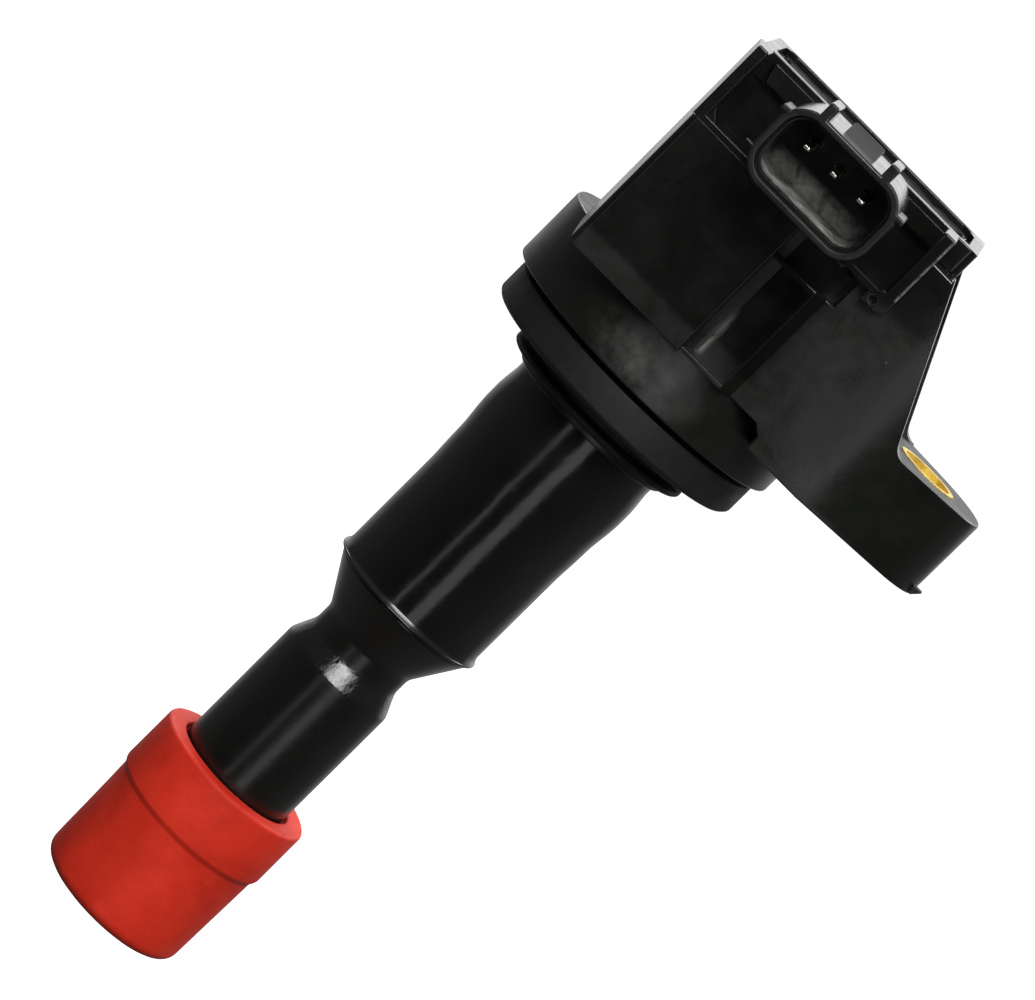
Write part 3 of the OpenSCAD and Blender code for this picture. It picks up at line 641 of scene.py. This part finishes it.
def fillet(outline, sharp, shallow):
    """Rounds the corners of a closed outline. Radii are for sharp corners and for those under 45 degrees."""
    steps = 5
    rounded = []
    count = len(outline)
    for i in range(count):
        corner = Vector(outline[i])
        back = Vector(outline[i - 1]) - corner
        ahead = Vector(outline[(i + 1) % count]) - corner
        turn = math.pi - back.angle(ahead)
        if turn < math.radians(12):
            rounded.append(tuple(corner))
            continue
        radius = shallow if turn < math.radians(45) else sharp
        reach = min(radius * math.tan(turn / 2), 0.45 * back.length, 0.45 * ahead.length)
        start = corner + back.normalized() * reach
        end = corner + ahead.normalized() * reach
        for k in range(steps + 1):
            t = k / steps
            rounded.append(tuple(start * (1 - t) ** 2 + corner * 2 * t * (1 - t) + end * t ** 2))
    return rounded


def lathe(name, outline, wobble):
    """Turns a closed outline round the Z axis. Wobble is how far the surface strays, in metres."""
    steps = 192
    waves_round = 3
    waves_up = 160
    work = bmesh.new()
    rings = []
    for k in range(steps):
        angle = 2 * math.pi * k / steps
        x, y = math.cos(angle), math.sin(angle)
        ring = []
        for radius, height in outline:
            wave = Vector((waves_round * x, waves_round * y, height * waves_up))
            r = radius + wobble * noise.noise(wave)
            ring.append(work.verts.new((r * x, r * y, height)))
        rings.append(ring)
    count = len(outline)
    for k in range(steps):
        this, following = rings[k], rings[(k + 1) % steps]
        for i in range(count):
            j = (i + 1) % count
            work.faces.new((this[i], following[i], following[j], this[j]))
    bmesh.ops.recalc_face_normals(work, faces=work.faces)
    return finished_mesh(work, name, smooth=True)


# ---- Pieces ----

def make_turned(name, node, body, slot, sharp, shallow, wobble):
    """Turned piece with the outline of a CAD node and rounded corners."""
    outline = fillet(seam_outline(node), sharp, shallow)
    return adopt(bpy.data.objects.new(name, lathe(name, outline, wobble)), body, slot, node)


def is_flat(edge):
    """True for an edge between two faces that lie in one plane."""
    return edge.is_manifold and edge.calc_face_angle() < math.radians(0.3)


def cut_quality(edge):
    """Length of a cut across a flat face, counted for less where it leaves the outline at a slant."""
    squareness = 1.0
    for vert in edge.verts:
        away = edge.other_vert(vert).co - vert.co
        for other in vert.link_edges:
            if other is not edge and not is_flat(other):
                angle = away.angle(other.other_vert(vert).co - vert.co)
                squareness = min(squareness, math.sin(min(angle, math.pi / 2)))
    return squareness * min(edge.calc_length(), 2 * MM)


def join_flat_faces(work):
    """Joins triangles in one plane into faces with no hole, leaving the squarest cuts between these."""
    flat = [edge for edge in work.edges if is_flat(edge)]
    faces = list(dict.fromkeys(face for edge in flat for face in edge.link_faces))
    bmesh.ops.beautify_fill(work, faces=faces, edges=flat, method="ANGLE")
    cuts = sorted((edge for edge in work.edges if is_flat(edge)), key=cut_quality)
    for edge in cuts:
        if edge.is_valid and len(edge.link_faces) == 2:
            one, two = edge.link_faces
            if len(set(one.verts) & set(two.verts)) == 2:
                bmesh.utils.face_join((one, two))
    straight = [vert for vert in work.verts if len(vert.link_edges) == 2]
    straight = [vert for vert in straight if vert.calc_edge_angle(1.0) < math.radians(0.3)]
    bmesh.ops.dissolve_verts(work, verts=straight)


def nearest_on(start, end, point):
    """Point of a line between two ends that is nearest to another point."""
    along = end - start
    share = (point - start).dot(along) / along.length_squared
    return start + along * min(max(share, 0), 1)


def room_across(loop):
    """Distance from a face's edge to the nearest other edge that lies across the face."""
    start = loop.vert.co
    end = loop.link_loop_next.vert.co
    inward = loop.face.normal.cross((end - start).normalized())
    middle = (start + end) / 2
    room = 1.0
    for other in loop.face.loops:
        if other is loop:
            continue
        first = other.vert.co
        second = other.link_loop_next.vert.co
        reaches = (first - nearest_on(start, end, first), nearest_on(first, second, middle) - middle)
        for reach in reaches:
            if reach.length > 1e-7 and reach.dot(inward) > 0.3 * reach.length:
                room = min(room, reach.length)
    return room


def is_outer(edge):
    """True for an edge that stands out and turns enough to be rounded."""
    return edge.is_manifold and edge.is_convex and edge.calc_face_angle() > math.radians(28)


def room_at_ends(loop):
    """How far a face's edge can move inwards before the corners at its ends use up an edge's length."""
    shrink = 0.0
    room = 1.0
    for corner, neighbour in ((loop, loop.link_loop_prev), (loop.link_loop_next, loop.link_loop_next)):
        turn = math.pi - corner.calc_angle()
        if not is_outer(neighbour.edge):
            room = min(room, neighbour.edge.calc_length() * math.sin(turn))
        elif corner.is_convex:
            shrink += math.tan(min(turn, 3.0) / 2)
    return min(room, loop.edge.calc_length() / max(shrink, 1e-6))


def edge_room(edge):
    """How far an edge can be rounded before its rounding meets another edge's."""
    return min(min(0.4 * room_across(loop), 0.6 * room_at_ends(loop)) for loop in edge.link_loops)


def even_rooms(rooms):
    """Lowers rooms along smooth rows of edges, so that a rounding changes its width only gently."""
    pairs = []
    for vert in dict.fromkeys(vert for edge in rooms for vert in edge.verts):
        outer = [edge for edge in vert.link_edges if edge in rooms]
        for k, one in enumerate(outer):
            for two in outer[k + 1:]:
                away = one.other_vert(vert).co - vert.co
                turn = math.pi - away.angle(two.other_vert(vert).co - vert.co)
                if turn < math.radians(40):
                    shorter = min(one.calc_length(), two.calc_length())
                    pairs.append((one, two, 0.3 * shorter * max(math.sin(turn), 0.02)))
    changed = True
    while changed:
        changed = False
        for one, two, step in pairs:
            for low, high in ((one, two), (two, one)):
                if rooms[high] > rooms[low] + step + 1e-9:
                    rooms[high] = rooms[low] + step
                    changed = True


def corner_normals(mesh):
    """Normals that keep flat faces flat and run smoothly over the roundings, whose material index is 1."""
    alike = math.cos(math.radians(28))
    faces_at = [[] for _ in mesh.vertices]
    for face in mesh.polygons:
        for vertex in face.vertices:
            faces_at[vertex].append(face)
    normals = []
    for face in mesh.polygons:
        for vertex in face.vertices:
            leader = face
            group = faces_at[vertex]
            flat = [other for other in group if other.material_index == 0]
            if flat:
                group = flat
                if face.material_index == 1:
                    leader = max(flat, key=lambda other: other.normal.dot(face.normal))
                group = [other for other in flat if other.normal.dot(leader.normal) > alike]
            total = sum((other.normal * other.area for other in group), Vector())
            normals.append(total.normalized() if total.length > 0 else face.normal.copy())
    return normals


def rounded_copy(node, name, width):
    """Copy of a CAD node's mesh, with flat faces joined and outer edges rounded as room allows."""
    work = bmesh.new()
    work.from_mesh(nodes[node].data)
    bmesh.ops.remove_doubles(work, verts=work.verts, dist=1e-6)
    join_flat_faces(work)
    weights = work.edges.layers.float.new("bevel_weight_edge")
    rooms = {edge: min(width, edge_room(edge)) for edge in work.edges if is_outer(edge)}
    even_rooms(rooms)
    for edge, room in rooms.items():
        edge[weights] = room / width
    sharp = finished_mesh(work, name + "_sharp")
    draft = bpy.data.objects.new(name + "_sharp", sharp)
    rounding = draft.modifiers.new("rounding", "BEVEL")
    rounding.width = width
    rounding.segments = 3
    rounding.limit_method = "WEIGHT"
    rounding.use_clamp_overlap = False
    rounding.material = 1
    scene.collection.objects.link(draft)
    evaluated = draft.evaluated_get(bpy.context.evaluated_depsgraph_get())
    mesh = bpy.data.meshes.new_from_object(evaluated)
    bpy.data.objects.remove(draft)
    bpy.data.meshes.remove(sharp)
    mesh.name = name
    normals = corner_normals(mesh)
    mesh.polygons.foreach_set("material_index", [0] * len(mesh.polygons))
    mesh.shade_smooth()
    mesh.normals_split_custom_set(normals)
    mesh.materials.clear()
    return bpy.data.objects.new(name, mesh)


def make_housing():
    """The head's case with softly rounded edges."""
    case = rounded_copy("housing", "case", 0.3 * MM)
    return adopt(case, "coil", "black_plastic", "housing")


def add_ring(work, centre, half_width, half_height):
    """Ring of vertices across the Y axis, on a rounded rectangle."""
    squareness = 5
    count = 24
    ring = []
    for k in range(count):
        a = 2 * math.pi * k / count
        x = math.copysign(abs(math.cos(a)) ** (2 / squareness), math.cos(a)) * half_width
        z = math.copysign(abs(math.sin(a)) ** (2 / squareness), math.sin(a)) * half_height
        ring.append(work.verts.new((centre.x + x, centre.y, centre.z + z)))
    return ring


def join_rings(work, rings):
    """Skins rings of the same count and closes both ends."""
    for this, following in zip(rings, rings[1:]):
        for k in range(len(this)):
            j = (k + 1) % len(this)
            work.faces.new((this[k], this[j], following[j], following[k]))
    work.faces.new(rings[0])
    work.faces.new(rings[-1])


def make_pin(node, name):
    """Connector pin with rounded edges and a rounded, tapered nose, and its leg down inside the case."""
    low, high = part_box(node)
    half_width = (high.x - low.x) / 2
    half_height = 0.32 * MM
    nose = 0.8 * MM     # length of the taper
    blunt = 0.3         # share of the thickness that is left at the tip
    middle = Vector(((low.x + high.x) / 2, 0, high.z - half_height))
    work = bmesh.new()
    rings = []
    for k in range(9):
        t = k / 8
        middle.y = low.y + nose * (1 - math.cos(t * math.pi / 2))
        share = blunt + (1 - blunt) * math.sin(t * math.pi / 2)
        rings.append(add_ring(work, middle, half_width * (0.5 + 0.5 * share), half_height * share))
    middle.y = high.y
    rings.append(add_ring(work, middle, half_width, half_height))
    join_rings(work, rings)
    corners = [(x, y, z) for x in (low.x, high.x) for y in (high.y - 2 * half_height, high.y)
               for z in (low.z, high.z - half_height)]
    leg = bmesh.ops.convex_hull(work, input=[work.verts.new(corner) for corner in corners])
    bmesh.ops.delete(work, geom=leg["geom_unused"] + leg["geom_interior"], context="VERTS")
    bmesh.ops.recalc_face_normals(work, faces=work.faces)
    mesh = finished_mesh(work, name, smooth=True)
    mesh.set_sharp_from_angle(angle=math.radians(40))
    return adopt(bpy.data.objects.new(name, mesh), "coil", "tinned_brass", node)


def make_resin_skin():
    """Top of the cured resin, which creeps up the well's walls and has sunk unevenly."""
    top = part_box("potting_resin")[1].z
    level = [v.co for v in nodes["potting_resin"].data.vertices if abs(v.co.z - top) < 1e-6]
    low_x, high_x = min(c.x for c in level), max(c.x for c in level)
    low_y, high_y = min(c.y for c in level), max(c.y for c in level)
    across, along = 120, 72
    creep = 0.45 * MM
    work = bmesh.new()
    upper, lower = [], []
    for i in range(across + 1):
        for j in range(along + 1):
            x = low_x + (high_x - low_x) * i / across
            y = low_y + (high_y - low_y) * j / along
            edge = min(x - low_x, high_x - x, y - low_y, high_y - y)
            ripple = noise.noise(Vector((x, y, 0)) * 260) + 0.5 * noise.noise(Vector((x, y, 9)) * 700)
            rise = creep * math.exp(-edge / (0.5 * MM)) * (1 + 0.5 * ripple)
            upper.append(work.verts.new((x, y, top + 0.12 * MM + rise + 0.05 * MM * ripple)))
            lower.append(work.verts.new((x, y, top - 0.05 * MM)))
    row = along + 1
    for i in range(across):
        for j in range(along):
            a, b, c, d = i * row + j, (i + 1) * row + j, (i + 1) * row + j + 1, i * row + j + 1
            work.faces.new((upper[a], upper[b], upper[c], upper[d]))
            work.faces.new((lower[d], lower[c], lower[b], lower[a]))
    border = [i * row for i in range(across + 1)]
    border += [across * row + j for j in range(1, along + 1)]
    border += [i * row + along for i in range(across - 1, -1, -1)]
    border += list(range(along - 1, 0, -1))
    for a, b in zip(border, border[1:] + border[:1]):
        work.faces.new((upper[b], upper[a], lower[a], lower[b]))
    mesh = finished_mesh(work, "resin_skin", smooth=True)
    mesh.set_sharp_from_angle(angle=math.radians(60))
    return adopt(bpy.data.objects.new("resin_skin", mesh), "coil", "resin")


def make_spring():
    """Coil spring with closed ends between the contact cap and the resistor."""
    low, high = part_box("contact_spring")
    wire = 0.35 * MM        # radius of the wire
    coil_r = high.x - wire
    bottom, top = low.z + wire, high.z - wire
    turns = 11
    closed = 0.7 / turns    # share of the wire in the flat turn at each end
    steps = 40 * turns
    sides = 12
    up = Vector((0, 0, 1))
    work = bmesh.new()
    rings = []
    for k in range(steps + 1):
        t = k / steps
        angle = 2 * math.pi * turns * t
        out = Vector((math.cos(angle), math.sin(angle), 0))
        rise = min(max((t - closed) / (1 - 2 * closed), 0), 1)
        centre = Vector((coil_r * math.cos(angle), coil_r * math.sin(angle), bottom + (top - bottom) * rise))
        ring = []
        for s in range(sides):
            b = 2 * math.pi * s / sides
            ring.append(work.verts.new(centre + wire * (out * math.cos(b) + up * math.sin(b))))
        rings.append(ring)
    for this, following in zip(rings, rings[1:]):
        for s in range(sides):
            work.faces.new((this[s], this[(s + 1) % sides], following[(s + 1) % sides], following[s]))
    work.faces.new(rings[0])
    work.faces.new(rings[-1])
    bmesh.ops.recalc_face_normals(work, faces=work.faces)
    mesh = finished_mesh(work, "spring_coils", smooth=True)
    spring = adopt(bpy.data.objects.new("spring_coils", mesh), "coil", "spring_steel", "contact_spring")
    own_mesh(spring)


def paint_cad_nodes():
    """Gives each CAD node that stays its own slot's material."""
    for node in nodes.values():
        for slot in node.material_slots:
            slot.material = materials[slot.material.name]


# ---- The scene ----

make_camera()
materials = make_materials()
paint_cad_nodes()
make_world()
make_stage()
make_housing()
make_turned("rubber_boot", "plug_boot", "boot", "red_rubber",
            sharp=0.45 * MM, shallow=0.8 * MM, wobble=0.05 * MM)
make_turned("tube", "extension_tube", "coil", "tube_plastic",
            sharp=0.15 * MM, shallow=2.4 * MM, wobble=0.01 * MM)
make_turned("sleeve", "upper_sleeve", "coil", "sleeve_plastic",
            sharp=0.12 * MM, shallow=1.0 * MM, wobble=0.02 * MM)
make_turned("seal", "seal_ring", "coil", "seal_rubber",
            sharp=0.25 * MM, shallow=0.5 * MM, wobble=0.03 * MM)
make_pin("terminal_power", "pin_power")
make_pin("terminal_ground", "pin_ground")
make_pin("terminal_trigger", "pin_trigger")
make_resin_skin()
make_spring()
make_softboxes()
scene.view_settings.view_transform = "Standard"
